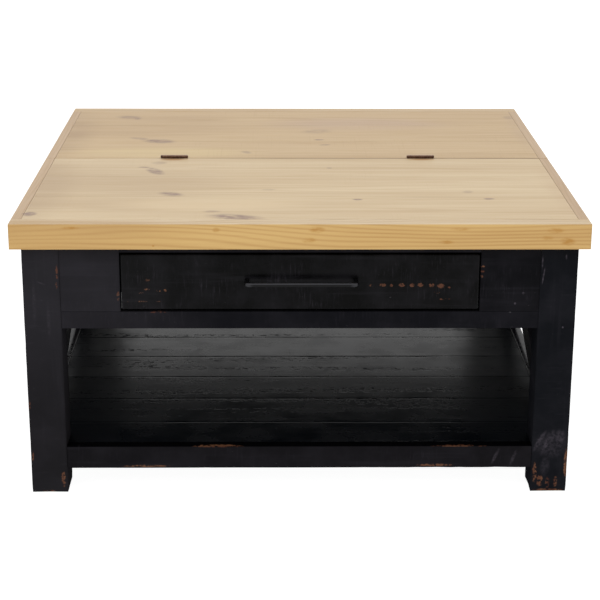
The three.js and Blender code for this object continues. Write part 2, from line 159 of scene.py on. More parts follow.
def extent(bm):
    """The low and high corners of a mesh."""
    corners = [v.co for v in bm.verts]
    low = Vector([min(c[i] for c in corners) for i in range(3)])
    high = Vector([max(c[i] for c in corners) for i in range(3)])
    return low, high


def cut_grid(bm, low, high, along, across, step):
    """Cuts a board into cells, close together near its arrises and ends, a step apart elsewhere."""
    ends = [low[along] + e for e in END_OFFSETS] + [high[along] - e for e in END_OFFSETS]
    cut_across(bm, along, ends + spread(low[along], high[along], step))
    for axis in across:
        width = high[axis] - low[axis]
        rings = [r for r in RING_OFFSETS if r < width / 2 - RING_ROOM]
        cut_across(bm, axis, [low[axis] + r for r in rings] + [high[axis] - r for r in rings])
        if width > WIDE_FACE:
            cut_across(bm, axis, spread(low[axis], high[axis], WIDE_FACE_STEP))


def new_piece(name, mesh, material):
    """Puts a mesh in the scene as a new object with one material."""
    mesh.materials.append(material)
    piece = bpy.data.objects.new(name, mesh)
    bpy.context.scene.collection.objects.link(piece)
    return piece


def smooth(mesh):
    """Shades every face of a mesh smooth."""
    for face in mesh.polygons:
        face.use_smooth = True


def worn_board(
    node, grain, finish, step=16, wear=1.0, chips=0.5, pith=(30, -40), tilt=0.0, foot=0.0
):
    """Rebuilds a CAD board with worn edges, and stores what its material needs at each point.

    grain is the axis the wood runs along, step and pith are in millimetres, tilt turns the
    grain about X for the leaning braces, and foot wears the lower end more than the rest.
    """
    box_low, box_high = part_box(node)
    centre = (box_low + box_high) / 2
    turn = Matrix.Rotation(-tilt, 4, "X")
    bm = whole_faces(node, centre, turn)
    low, high = extent(bm)
    along = AXES[grain]
    across = [i for i in range(3) if i != along]
    cut_grid(bm, low, high, along, across, step * MM)

    seed = sum(ord(letter) * (i + 3) for i, letter in enumerate(node)) % 97
    edge_layer = bm.verts.layers.float.new("edge")
    grain_layer = bm.verts.layers.float_vector.new("grain")
    tone_layer = bm.verts.layers.float.new("tone")
    bm.normal_update()
    moves = []
    for v in bm.verts:
        gap = edge_gap(v.co, low, high)
        v[edge_layer] = max(0.0, 1 - gap / NEAR_EDGE)
        v[grain_layer] = (
            v.co[along] + seed * 0.37,
            v.co[across[0]] + pith[0] * MM,
            v.co[across[1]] + pith[1] * MM,
        )
        v[tone_layer] = (seed * 0.618) % 1
        place = v.co + centre
        depth = worn_depth(place, seed, chips) * wear * max(0.0, 1 - gap / WORN_REACH) ** 1.5
        if foot:
            depth += foot * MM * foot_depth(place, seed, v.co.z - low.z, gap)
        if depth > 0:
            moves.append((v, v.normal * depth))
    for v, move in moves:
        v.co -= move
        for i in range(3):
            v.co[i] = min(high[i], max(low[i], v.co[i]))
    bmesh.ops.transform(bm, matrix=Matrix.Translation(centre) @ turn.inverted(), verts=bm.verts)

    mesh = bpy.data.meshes.new(node + "_board")
    bm.to_mesh(mesh)
    bm.free()
    smooth(mesh)
    piece = new_piece(node + "_board", mesh, finish)
    weighted = piece.modifiers.new("weighted normals", "WEIGHTED_NORMAL")
    weighted.keep_sharp = True
    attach(piece, frame["nodes"][node]["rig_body"])
    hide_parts(node)


# ---------------------------------------------------------------- material building blocks


class Nodes:
    """A small writer for one material's node tree."""

    def __init__(self, name):
        self.material = bpy.data.materials.new(name)
        self.material.use_nodes = True
        self.tree = self.material.node_tree
        self.tree.nodes.clear()
        self.output = self.add("ShaderNodeOutputMaterial")
        self.shader = self.add("ShaderNodeBsdfPrincipled")
        self.tree.links.new(self.shader.outputs["BSDF"], self.output.inputs["Surface"])
        self.coordinates = self.add("ShaderNodeTexCoord")

    def add(self, kind, inputs=(), **settings):
        """A new node, with settings as attributes and inputs as values or links."""
        made = self.tree.nodes.new(kind)
        for key, value in settings.items():
            setattr(made, key, value)
        for key, value in dict(inputs).items():
            self.put(made.inputs[key], value)
        return made

    def put(self, socket, value):
        """Links an output to an input socket, or sets the socket to a plain value."""
        if isinstance(value, bpy.types.NodeSocket):
            self.tree.links.new(value, socket)
        else:
            socket.default_value = value

    def math(self, operation, a, b=0.0, clamp=False):
        """The result of one sum on a and b."""
        node = self.add("ShaderNodeMath", {0: a, 1: b}, operation=operation, use_clamp=clamp)
        return node.outputs[0]

    def times(self, a, b):
        """a times b."""
        return self.math("MULTIPLY", a, b)

    def swing(self, value, strength):
        """The part of a noise that lies above or below its middle, times a strength."""
        return self.times(self.math("SUBTRACT", value, 0.5), strength)

    def attribute(self, name, output="Fac"):
        """What the mesh stores at each point under a name."""
        return self.add("ShaderNodeAttribute", attribute_name=name).outputs[output]

    def place(self):
        """The point in the object's own space, in metres."""
        return self.coordinates.outputs["Object"]

    def scaled(self, vector, scale):
        """A vector times another, axis by axis."""
        node = self.add("ShaderNodeVectorMath", {0: vector, 1: scale}, operation="MULTIPLY")
        return node.outputs[0]

    def noise(self, vector, scale, detail=3.0, rough=0.5):
        """Soft noise of 0 to 1 at a point."""
        return self.add(
            "ShaderNodeTexNoise",
            {"Vector": vector, "Scale": scale, "Detail": detail, "Roughness": rough},
        ).outputs["Fac"]

    def step(self, value, low, high, to_low=0.0, to_high=1.0):
        """A smooth ramp of value between low and high."""
        ends = {"From Min": low, "From Max": high, "To Min": to_low, "To Max": to_high}
        return self.add(
            "ShaderNodeMapRange", {"Value": value, **ends}, interpolation_type="SMOOTHSTEP"
        ).outputs["Result"]

    def mix(self, factor, a, b):
        """Colour a at factor 0, colour b at factor 1."""
        node = self.add("ShaderNodeMix", data_type="RGBA")
        self.put(node.inputs[0], factor)
        self.put(node.inputs[6], a)
        self.put(node.inputs[7], b)
        return node.outputs[2]

    def spot(self, centre, size, turn=(0, 0, 0)):
        """1 in the middle of a soft ellipsoid around a point, 0 outside it."""
        mapped = self.add(
            "ShaderNodeMapping",
            {"Vector": self.place(), "Location": centre, "Rotation": turn, "Scale": size},
            vector_type="TEXTURE",
        ).outputs[0]
        reach = self.add("ShaderNodeVectorMath", {0: mapped}, operation="LENGTH").outputs["Value"]
        return self.step(reach, 1.0, 0.35)

    def spots(self, marks):
        """The strongest of several spots: each mark is its centre, size, turn and strength."""
        total = 0.0
        for centre, size, turn, strength in marks:
            one = self.times(self.spot(centre, size, turn), strength)
            total = self.math("MAXIMUM", total, one)
        return total

    def facing_up(self):
        """1 where the surface faces up, 0 on its sides."""
        parts = self.add("ShaderNodeSeparateXYZ", {0: self.coordinates.outputs["Normal"]})
        return self.step(parts.outputs[2], 0.6, 0.9)

    def along(self, axis, low, high):
        """A smooth ramp from 0 to 1 between two places on an axis, in metres."""
        parts = self.add("ShaderNodeSeparateXYZ", {0: self.place()})
        return self.step(parts.outputs[axis], low, high)

    def bump(self, height, distance, strength):
        """The surface normal, tilted by a height."""
        settings = {"Height": height, "Distance": distance, "Strength": strength}
        return self.add("ShaderNodeBump", settings).outputs["Normal"]


def rgb(red, green, blue):
    """A linear colour from sRGB values of 0 to 255."""

    def linear(value):
        share = value / 255
        return share / 12.92 if share <= 0.04045 else ((share + 0.055) / 1.055) ** 2.4

    return (linear(red), linear(green), linear(blue), 1.0)


def grain_rings(n, spacing, wobble):
    """Year rings of a board, 0 in pale early wood and 1 on the dark late-wood lines."""
    point = n.attribute("grain", "Vector")
    stretched = n.scaled(point, (1.2, 9, 9))
    parts = n.add("ShaderNodeSeparateXYZ", {0: point})
    bend_y = n.swing(n.noise(stretched, 1.0, 2.0), wobble * 4)
    apart = {0: stretched, 1: (11.3, 4.7, 2.9)}
    moved = n.add("ShaderNodeVectorMath", apart, operation="ADD").outputs[0]
    bend_z = n.swing(n.noise(moved, 1.0, 2.0), wobble * 4)
    y = n.math("ADD", parts.outputs[1], bend_y)
    z = n.math("ADD", parts.outputs[2], bend_z)
    radius = n.math("SQRT", n.math("ADD", n.times(y, y), n.times(z, z)))
    phase = n.times(radius, 2 * math.pi / spacing)
    wave = n.math("ADD", n.times(n.math("SINE", phase), 0.5), 0.5)
    return n.math("POWER", wave, 2.2)


def fibres(n, fine=420.0, length=9.0):
    """Fine streaks along the grain."""
    return n.noise(n.scaled(n.attribute("grain", "Vector"), (length, fine, fine)), 1.0, 3.0, 0.6)


# ---------------------------------------------------------------- pine

# Knots and streaks of the top: x, y, half length, half width in millimetres, turn, strength.
TOP_KNOTS = (
    (-336, 366, 26, 11, -0.35, 0.55),
    (-320, 352, 8, 5, 0.0, 0.8),
    (-262, 143, 30, 12, -0.25, 0.8),
    (-300, 166, 20, 6, -0.4, 0.5),
    (-249, -38, 14, 8, 0.2, 0.35),
    (-252, -102, 12, 20, 0.45, 0.75),
    (-274, -72, 11, 4, 0.0, 0.6),
    (-214, -266, 21, 9, -0.45, 0.8),
    (-432, -394, 11, 9, 0.0, 1.0),
    (-142, -378, 14, 5, 0.0, 0.5),
    (-104, -413, 42, 12, -0.22, 0.75),
    (-94, 49, 8, 9, 0.6, 0.4),
    (43, 156, 9, 4, 0.0, 0.8),
    (53, 111, 10, 4, 0.1, 0.7),
    (40, 231, 30, 14, 0.3, 0.3),
    (56, -77, 5, 3, 0.0, 0.6),
    (96, -301, 8, 4, 0.0, 0.8),
    (314, -297, 9, 4, 0.0, 0.8),
    (284, -250, 9, 7, -0.5, 0.35),
    (434, 366, 12, 12, 0.0, 0.35),
    (-51, -235, 12, 4, 0.0, 0.35),
)

# Warm brown patches painted on the top just in front of the hinges: x, y, half length, half width.
HINGE_FRONT_PATCHES = ((-226, -10, 27, 11), (226, -9, 25, 9))

KNOT_GREY = rgb(130, 106, 98)
GOLDEN_KNOT = rgb(158, 112, 44)
HINGE_PATCH_BROWN = rgb(160, 116, 74)
JOINT_DIRT = rgb(112, 86, 60)
SEAM_DIRT = rgb(104, 78, 50)
# Painted shade: black for the bare wood near the front, standing for the shade in the gaps round
# the drawer.
GAP_SHADE_BLACK = rgb(3, 3, 4)

# How much wider than the listed size a knot fades out.
KNOT_LONGER = 1.35
KNOT_WIDER = 1.9

# How far in from the surface each kind of mark reaches, so that worn edges carry it too.
KNOT_REACH = 30 * MM
GOLDEN_KNOT_REACH = 40 * MM
PATCH_REACH = 20 * MM
TINT_REACH = 60 * MM

# Golden knots on the front face of the edging: x, z, half length, half height, strength.
EDGING_KNOTS = (
    (25.7, 453.9, 16, 7, 0.8),
    (13, 437, 14, 6, 0.7),
    (229, 434, 16, 4, 0.8),
    (250, 455, 20, 4, 0.6),
    (420, 435, 15, 9, 0.9),
    (400, 453, 18, 6, 0.7),
    (388, 441, 12, 5, 0.5),
    (-132, 454, 8, 5, 0.9),
    (-231, 428, 2.5, 2, 1.0),
    (-360, 457, 20, 3, 0.8),
)

# The front edging is darker at the left end: x, y, half length, half width, colour.
EDGING_TINTS = ((-400, -457, 260, 40, rgb(166, 130, 80)),)

# Where the fixed planks and the lid differ from their main colour: x, y, half length, half width,
# colour.
TOP_TINTS = (
    (-457, -230, 100, 320, rgb(160, 134, 106)),
    (-330, -200, 260, 280, rgb(184, 160, 128)),
    (457, -230, 50, 260, rgb(190, 163, 130)),
    (-150, -330, 210, 60, rgb(212, 190, 154)),
)
LID_TINTS = (
    (-250, 45, 230, 55, rgb(206, 184, 138)),
    (-457, 230, 90, 300, rgb(160, 134, 106)),
    (-300, 300, 240, 170, rgb(176, 148, 114)),
    (457, 230, 50, 260, rgb(182, 156, 126)),
    (120, 300, 240, 80, rgb(184, 158, 136)),
)


def tinted(n, colour, tints, slow):
    """Large soft zones of another colour, broken up by the slow changes of the wood."""
    for x, y, half_length, half_width, shade in tints:
        zone = n.spot(top_point(x, y), (half_length * MM, half_width * MM, TINT_REACH))
        colour = n.mix(n.times(zone, n.step(slow, 0.3, 0.6, 0.3, 0.6)), colour, shade)
    return colour


def knotted(n, colour, knots):
    """Grey-brown knots and streaks of the top."""
    marks = []
    for x, y, half_length, half_width, turn, strength in knots:
        size = (half_length * KNOT_LONGER * MM, half_width * KNOT_WIDER * MM, KNOT_REACH)
        marks.append((top_point(x, y), size, (0, 0, turn), strength))
    broken = n.noise(n.scaled(n.place(), (60, 300, 60)), 1.0, 4.0, 0.65)
    shares = n.step(broken, 0.36, 0.58, 0.2, 1.15)
    mask = n.math("MULTIPLY", n.spots(marks), shares, clamp=True)
    return n.mix(mask, colour, KNOT_GREY)


def golden_knotted(n, colour, knots):
    """Golden knots on the front face of the front edging."""
    marks = []
    for x, z, half_length, half_height, strength in knots:
        place = Vector((x * MM, EDGING_FACE_Y, z * MM))
        size = (half_length * MM, GOLDEN_KNOT_REACH, half_height * MM)
        marks.append((place, size, (0, 0, 0), strength))
    swirl = n.noise(n.scaled(n.place(), (60, 40, 190)), 1.0, 3.0, 0.6)
    mask = n.times(n.spots(marks), n.step(swirl, 0.38, 0.6, 0.3, 0.95))
    return n.mix(mask, colour, GOLDEN_KNOT)


def patched_at_hinges(n, colour, hinge_patches):
    """Warm brown patches on the top, in front of the hinges."""
    for x, y, half_length, half_width in hinge_patches:
        warm_patch = n.spot(top_point(x, y), (half_length * MM, half_width * MM, PATCH_REACH))
        colour = n.mix(n.times(warm_patch, 0.75), colour, HINGE_PATCH_BROWN)
    return colour


def dirty_joints(n, colour, dirt):
    """Dirt along the edges of a board, less at the table's ends and more to the right."""
    edge = n.attribute("edge")
    patchy = n.noise(n.scaled(n.place(), (6, 6, 6)), 1.0, 3.0)
    joint = n.times(n.step(edge, 0.84, 0.97), n.step(patchy, 0.45, 0.65, 0.05, 1.0))
    ends = n.math("ADD", n.along(0, -0.43, -0.44), n.along(0, 0.43, 0.44))
    joint = n.times(joint, n.math("SUBTRACT", 1.0, n.times(ends, 0.8)))
    joint = n.times(joint, n.math("ADD", n.times(n.along(0, -0.3, 0.2), 0.8), 0.2))
    return n.mix(n.times(joint, dirt), colour, JOINT_DIRT)


def dirty_seam(n, colour, seam):
    """Dirt along the seam between the two halves, growing from the left hinge to the middle."""
    parts = n.add("ShaderNodeSeparateXYZ", {0: n.place()})
    away = n.math("ABSOLUTE", n.math("SUBTRACT", parts.outputs[1], MIDDLE_Y))
    line = n.times(n.step(away, 3.6 * MM, 1.4 * MM), n.along(0, -0.26, -0.02))
    return n.mix(n.times(line, seam), colour, SEAM_DIRT)


def pine_saw_marks(n, sawn):
    """Faint patches of saw lines across the grain."""
    point = n.attribute("grain", "Vector")
    lines = n.noise(n.scaled(point, (330, 6, 6)), 1.0, 1.0)
    patches = n.step(n.noise(n.scaled(point, (5, 14, 14)), 1.0, 2.0), 0.45, 0.65)
    return n.times(n.step(lines, 0.55, 0.75), n.times(patches, sawn))


def pine(
    name,
    pale,
    dark,
    spacing,
    contrast,
    knots=(),
    sawn=0.0,
    rough=0.5,
    dirt=0.5,
    hinge_patches=(),
    tints=(),
    upward=None,
    front_knots=(),
    painted_gap_shade=0.0,
    wobble=0.012,
    seam=0.0,
):
    """Planed pine: year rings, fibres, changes of tone, knots, dirty joints and faint saw marks.

    upward is the pair of colours of the face that looks up, where it differs from the sides.
    painted_gap_shade is how far in from the front the wood is painted black, in metres: painted
    shade standing for the shade seen through the gaps round the drawer. seam is how dark the dirt
    is along the seam between the two halves.
    """
    n = Nodes(name)
    rings = grain_rings(n, spacing, wobble)
    streaks = fibres(n)
    point = n.attribute("grain", "Vector")
    slow = n.noise(n.scaled(point, (2.2, 16, 16)), 1.0, 2.0)
    bands = n.noise(n.scaled(point, (0.9, 55, 55)), 1.0, 2.0)
    amount = n.times(rings, contrast)
    amount = n.math("ADD", amount, n.swing(streaks, 0.45))
    amount = n.math("ADD", amount, n.swing(slow, 0.8))
    amount = n.math("ADD", amount, n.swing(bands, 0.7))
    amount = n.math("ADD", amount, n.times(n.attribute("tone"), 0.2), clamp=True)
    colour = n.mix(amount, pale, dark)
    if upward:
        colour = n.mix(n.facing_up(), colour, n.mix(amount, *upward))
    height = n.math("ADD", n.times(streaks, 0.6), n.times(rings, 0.4))

    colour = tinted(n, colour, tints, slow)
    if sawn:
        marks = pine_saw_marks(n, sawn)
        colour = n.mix(marks, colour, dark)
        height = n.math("SUBTRACT", height, n.times(marks, 0.8))
    if knots:
        colour = knotted(n, colour, knots)
    if front_knots:
        colour = golden_knotted(n, colour, front_knots)
    # Warm brown patches painted in front of the hinges.
    colour = patched_at_hinges(n, colour, hinge_patches)
    colour = dirty_joints(n, colour, dirt)
    if seam:
        colour = dirty_seam(n, colour, seam)
    # Painted shade: the bare wood near the front turns black, for the shade seen through the gaps
    # round the drawer.
    if painted_gap_shade:
        reach = FRONT_FACE_Y + painted_gap_shade
        colour = n.mix(n.along(1, reach, reach - 30 * MM), colour, GAP_SHADE_BLACK)

    n.put(n.shader.inputs["Base Color"], colour)
    n.put(n.shader.inputs["Roughness"], n.step(streaks, 0.2, 0.8, rough - 0.07, rough + 0.1))
    n.put(n.shader.inputs["Normal"], n.bump(height, 0.25 * MM, 0.5))
    n.shader.inputs["Specular IOR Level"].default_value = 0.3
    return n.material


FRONT_KNOTS = [knot for knot in TOP_KNOTS if knot[1] < 0]
LID_KNOTS = [knot for knot in TOP_KNOTS if knot[1] > 0]
CORNER_KNOTS = [knot for knot in TOP_KNOTS if knot[0] < -430]

PLANK_COLOURS = (rgb(206, 185, 151), rgb(175, 145, 106))
LID_COLOURS = (rgb(194, 168, 131), rgb(164, 131, 91))
EDGING_COLOURS = (rgb(190, 156, 98), rgb(152, 110, 58))
SIDE_COLOURS = (rgb(188, 162, 132), rgb(166, 138, 106))
BARE_COLOURS = (rgb(206, 172, 122), rgb(160, 114, 66))

pine_top = pine(
    "pine top",
    *PLANK_COLOURS,
    spacing=7 * MM,
    contrast=0.26,
    knots=FRONT_KNOTS,
    sawn=0.12,
    hinge_patches=HINGE_FRONT_PATCHES,
    tints=TOP_TINTS,
    seam=0.75,
)
pine_lid = pine(
    "pine lid",
    *LID_COLOURS,
    spacing=7 * MM,
    contrast=0.3,
    knots=LID_KNOTS,
    sawn=0.15,
    tints=LID_TINTS,
    seam=0.5,
)
pine_side = pine(
    "pine side edging",
    *SIDE_COLOURS,
    spacing=5 * MM,
    contrast=0.25,
    knots=CORNER_KNOTS,
    dirt=0.05,
)
edging_front = pine(
    "pine front edging",
    *EDGING_COLOURS,
    spacing=7.5 * MM,
    contrast=0.36,
    rough=0.42,
    dirt=0.1,
    upward=PLANK_COLOURS,
    front_knots=EDGING_KNOTS,
    tints=EDGING_TINTS,
    wobble=0.02,
)
edging_back = pine(
    "pine back edging",
    *EDGING_COLOURS,
    spacing=7.5 * MM,
    contrast=0.36,
    rough=0.42,
    dirt=0.1,
    upward=LID_COLOURS,
)
bare_pine = pine(
    "bare pine",
    *BARE_COLOURS,
    spacing=6 * MM,
    contrast=0.6,
    sawn=0.6,
    rough=0.7,
    dirt=0.2,
    painted_gap_shade=80 * MM,
)

# ---------------------------------------------------------------- rubbed black paint

# Places where the paint is rubbed through on the front: x, z, half length, half height, strength.
FRONT_RUBS = (
    (111, 358.7, 3.5, 3, 0.8),
    (131, 358.7, 7, 3, 1.0),
    (145, 358, 3.5, 3, 0.8),
    (162, 358.7, 6, 3.5, 1.0),
    (178, 358.7, 5, 4, 0.9),
    (191, 358.7, 5.5, 4, 1.0),
    (209, 358, 5, 4, 1.0),
    (224, 357, 7, 4.5, 1.0),
    (237, 354.5, 3, 2, 0.7),
    (230, 335, 13, 2, 0.6),
    (218, 346, 9, 2.5, 0.4),
    (-386, 380, 2.0, 15, 1.0),
    (-387, 359, 1.8, 8, 0.8),
    (289, 389.4, 5, 2, 0.8),
    (289.5, 381.1, 4, 2, 0.8),
    (288.2, 372.8, 3.5, 3, 0.7),
    (-290, 341, 3, 12, 0.6),
    (-244, 351.4, 6, 2, 0.75),
    (-253, 345.6, 5, 2, 0.65),
    (-226, 349, 5, 2.2, 0.75),
    (-215, 350, 3.5, 3, 0.7),
    (-276, 331.4, 2.5, 1.4, 0.7),
    (-253, 331.4, 13, 1.3, 0.7),
    (-227, 331.4, 7, 1.1, 0.5),
    (-243, 367, 6, 3, 0.45),
    (-228, 313.2, 18, 1.6, 0.6),
    (-132, 81.3, 50, 1.6, 1.0),
    (262, 82.2, 66, 2.4, 0.8),
    (-252, 46.8, 46, 2.6, 0.8),
    (223, 47.6, 34, 2.8, 0.9),
    (-389, 24, 4.5, 17, 0.85),
    (-438, 65, 2.2, 12, 0.8),
    (-439, 156, 2, 12, 0.6),
    (439, 50, 4, 30, 0.9),
    (388, 34, 5, 22, 0.7),
    (397, 20, 7, 14, 0.75),
    (410, 16, 5, 14, 0.6),
    (423, 18, 5, 14, 0.55),
    (411, 2, 30, 3.5, 0.9),
    (-412, 2, 16, 2.5, 0.7),
)

# Light scratches and scuffs on the front: x, z, half length, half height, turn, strength.
FRONT_SCUFFS = (
    (384.5, 396, 1.3, 11, 0.0, 0.6),
    (387, 374, 1.3, 14, 0.12, 0.6),
    (394, 90, 4.5, 20, 0.5, 0.38),
    (405, 84, 4.5, 21, 0.42, 0.4),
    (414, 96, 6, 14, 0.2, 0.3),
    (427, 96, 9, 15, 0.1, 0.34),
    (414, 84, 26, 24, 0.0, 0.2),
    (405, 46, 8, 18, 0.1, 0.16),
    (322, 63, 3, 15, 0.4, 0.3),
    (352, 61, 3, 14, 0.35, 0.24),
    (356, 345, 2, 2, 0.0, 0.6),
    (343.5, 327.6, 2, 2, 0.0, 0.6),
    (422, 405, 1.6, 4, 0.0, 0.6),
    (422, 287, 1.6, 2, 0.0, 0.6),
    (-402, 300, 3, 34, 0.0, 0.1),
    (-424, 330, 3, 40, 0.0, 0.1),
    (-412, 362, 8, 1.4, 0.35, 0.2),
)

# How much wider than the listed size a mark of the front fades out, and how far in it reaches.
MARK_FADE = 1.25
MARK_REACH = 14 * MM

PALE_PAINT = rgb(56, 54, 60)
SAW_LINE = rgb(66, 62, 70)
SCUFF_GREY = rgb(86, 80, 88)
DUST_GREY = rgb(120, 118, 120)
BARED_WOOD = (rgb(90, 54, 40), rgb(126, 88, 64))


def marks_on(node, marks):
    """The marks whose middle lies on the front of a board."""
    low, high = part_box(node)
    slack = 3 * MM
    found = []
    for x, z, half_length, half_height, turn, strength in marks:
        place = front_point(x, z)
        inside_x = low.x - slack <= place.x <= high.x + slack
        if inside_x and low.z - slack <= place.z <= high.z + slack:
            size = (half_length * MM * MARK_FADE, MARK_REACH, half_height * MM * MARK_FADE)
            found.append((place, size, (0, turn, 0), strength))
    return found


def rubs_on(node):
    """The places on the front of a board where the paint is rubbed through."""
    upright = [(x, z, wide, tall, 0.0, strength) for x, z, wide, tall, strength in FRONT_RUBS]
    return marks_on(node, upright)


def paint_saw_lines(n, point, sawn):
    """Pale patches of saw lines across the grain."""
    lines = n.noise(n.scaled(point, (420, 34, 34)), 1.0, 3.0, 0.7)
    patches = n.step(n.noise(n.scaled(n.place(), (9, 9, 24)), 1.0, 4.0, 0.65), 0.42, 0.66)
    return n.times(n.step(lines, 0.52, 0.72), n.times(patches, sawn))


def bared_wood(n, ragged, edge_wear, rubs):
    """Where the paint is worn through: in places along the edges, and at the rubs."""
    patchy = n.noise(n.place(), 9.0, 3.0, 0.6)
    along_edge = n.times(n.step(n.attribute("edge"), 0.8, 1.0), n.step(patchy, 0.54, 0.74))
    bared = n.times(along_edge, edge_wear)
    if rubs:
        bared = n.math("MAXIMUM", bared, n.spots(rubs))
    return n.step(n.times(bared, n.step(ragged, 0.34, 0.64, 0.2, 1.25)), 0.3, 0.75)


def pitted_rows(n, point, pits):
    """Rows of short torn dashes along the grain."""
    dashes = n.noise(n.scaled(point, (95, 150, 150)), 1.0, 3.0, 0.7)
    rows = n.step(n.noise(n.scaled(point, (1.4, 34, 34)), 1.0, 2.0), 0.5, 0.68)
    return n.times(n.step(dashes, 0.5, 0.62), n.times(rows, pits))


def black_paint(
    name,
    coat,
    gloss=0.18,
    pits=0.0,
    shine=0.08,
    rubs=(),
    scuffs=(),
    edge_wear=0.25,
    dust=1.0,
    sawn=0.0,
    comb=0.0,
    thin=0.3,
    left=None,
    low=None,
    top=None,
    dull_ends=0.0,
):
    """Thin black paint over coarse wood, rubbed through along edges and where things knock it.

    sawn is the strength of pale saw lines across the grain, comb that of ridges across it, and
    thin that of patches of thin paint. left, low and top are coat colours painted in at the left
    end of the front, near the floor and on the face that looks up: left is painted light and top is
    painted shade. dull_ends is how much rougher the coat is towards both ends of the table.
    """
    n = Nodes(name)
    point = n.attribute("grain", "Vector")
    grain = fibres(n, 260.0, 5.0)
    coarse = n.noise(n.scaled(point, (3.5, 70, 70)), 1.0, 4.0, 0.62)
    chatter = n.noise(n.scaled(point, (170, 9, 9)), 1.0, 2.0)
    mottle = n.noise(n.place(), 14.0, 4.0, 0.6)
    ragged = n.noise(n.place(), 190.0, 4.0, 0.7)
    # Painted light: the coat is painted paler at the left end, where the key light falls.
    if left:
        coat = n.mix(n.along(0, -0.33, -0.1), left, coat)
    # The coat is darker towards the floor.
    if low:
        coat = n.mix(n.along(2, 0.12, 0.34), low, coat)

    thin_coat = n.mix(0.35, coat, PALE_PAINT)
    paint = n.mix(n.step(mottle, 0.38, 0.7, 0.0, thin), coat, thin_coat)
    paint = n.mix(n.times(n.step(coarse, 0.54, 0.72), thin), paint, thin_coat)
    # Painted shade: a darker coat on the face that looks up.
    if top:
        paint = n.mix(n.facing_up(), paint, top)
    if sawn:
        paint = n.mix(paint_saw_lines(n, point, sawn), paint, SAW_LINE)

    bared = bared_wood(n, ragged, edge_wear, rubs)
    wood = n.mix(n.step(coarse, 0.35, 0.7), *BARED_WOOD)
    colour = n.mix(n.times(bared, 0.56), paint, wood)
    if scuffs:
        scuffed = n.times(n.spots(scuffs), n.step(ragged, 0.35, 0.65, 0.15, 0.9))
        colour = n.mix(scuffed, colour, SCUFF_GREY)
    specks = n.noise(n.scaled(point, (130, 420, 420)), 1.0, 2.0, 0.7)
    dust_and_sheen = n.times(n.step(specks, 0.74, 0.82), 0.3 * dust)
    colour = n.mix(dust_and_sheen, colour, DUST_GREY)

    height = n.math("ADD", n.times(grain, 0.5), n.times(coarse, 0.9))
    height = n.math("ADD", height, n.times(chatter, 0.25))
    if comb:
        swathes = n.step(n.noise(n.scaled(point, (2.5, 16, 16)), 1.0, 2.0), 0.4, 0.6)
        height = n.math("ADD", height, n.times(n.times(chatter, swathes), comb))
    height = n.math("SUBTRACT", height, n.times(bared, 0.6))
    roughness = n.step(mottle, 0.3, 0.7, gloss - 0.05, gloss + 0.08)
    if pits:
        pitted = pitted_rows(n, point, pits)
        height = n.math("SUBTRACT", height, n.times(pitted, 3.0))
        roughness = n.math("ADD", roughness, n.times(pitted, 0.4), clamp=True)
    roughness = n.math("ADD", roughness, n.times(bared, 0.3), clamp=True)
    if dull_ends:
        ends = n.math("MAXIMUM", n.along(0, -0.26, -0.4), n.along(0, 0.26, 0.4))
        roughness = n.math("ADD", roughness, n.times(ends, dull_ends), clamp=True)

    n.put(n.shader.inputs["Base Color"], colour)
    n.put(n.shader.inputs["Roughness"], roughness)
    n.put(n.shader.inputs["Normal"], n.bump(height, 0.35 * MM, 0.35))
    n.shader.inputs["Specular IOR Level"].default_value = shine
    return n.material


# Coat colour and shine of each painted piece of the front. The coat colours carry painted light:
# paler on the left, where the key light falls, and darker to the right. Only the drawer front was
# sprayed to a shine.
FRONT_COATS_AND_LIGHT = {
    "leg_front_left": (rgb(35, 34, 37), 0.0),
    "front_panel_left": (rgb(33, 32, 35), 0.0),
    "drawer_front": (rgb(2, 2, 2), 0.06),
    "front_panel_right": (rgb(16, 16, 18), 0.0),
    "leg_front_right": (rgb(18, 19, 22), 0.0),
    "drawer_rail": (rgb(18, 18, 21), 0.0),
    "front_rail": (rgb(20, 19, 21), 0.0),
}

# Painted light and shade on the pieces of the front: the coat is painted paler at the left end
# (painted light) and darker on the face that looks up (painted shade), and on the left leg it is
# darker towards the floor.
COAT_LIGHT_AND_SHADE = {
    "leg_front_left": {"low": rgb(27, 26, 28)},
    "drawer_front": {"left": rgb(10, 10, 11)},
    "drawer_rail": {"left": rgb(30, 29, 32)},
    "front_rail": {"top": rgb(4, 4, 5)},
}

# Shine of the shelf planks from the front one to the back one: the front is rubbed dull.
SHELF_SHINES = (0.01, 0.02, 0.03, 0.055, 0.085, 0.1, 0.12, 0.14)
SHELF_COAT = rgb(1, 3, 6)


def front_paint(node):
    """The black paint of one piece of the front, with the painted light and shade of its place."""
    coat, shine = FRONT_COATS_AND_LIGHT[node]
    return black_paint(
        "black paint, " + node.replace("_", " "),
        coat,
        shine=shine,
        rubs=rubs_on(node),
        scuffs=marks_on(node, FRONT_SCUFFS),
        sawn=0.2 if node == "drawer_front" else 0.12,
        **COAT_LIGHT_AND_SHADE.get(node, {}),
    )


def shelf_paint(node):
    """The black paint of one shelf plank, shinier towards the back."""
    return black_paint(
        "black paint, " + node.replace("_", " "),
        SHELF_COAT,
        gloss=0.24,
        pits=1.0,
        shine=SHELF_SHINES[int(node.rsplit("_", 1)[1]) - 1],
        edge_wear=0.2,
        dust=0.3,
        comb=1.1,
        thin=0.1,
        dull_ends=0.25,
    )


paint_plain = black_paint(
    "black paint, sides and back",
    rgb(18, 17, 20),
    gloss=0.3,
    shine=0.02,
    edge_wear=0.75,
    sawn=0.12,
)
paint_rails = black_paint(
    "black paint, side rails",
    rgb(6, 6, 9),
    gloss=0.28,
    pits=0.6,
    shine=0.11,
)

# ---------------------------------------------------------------- metals

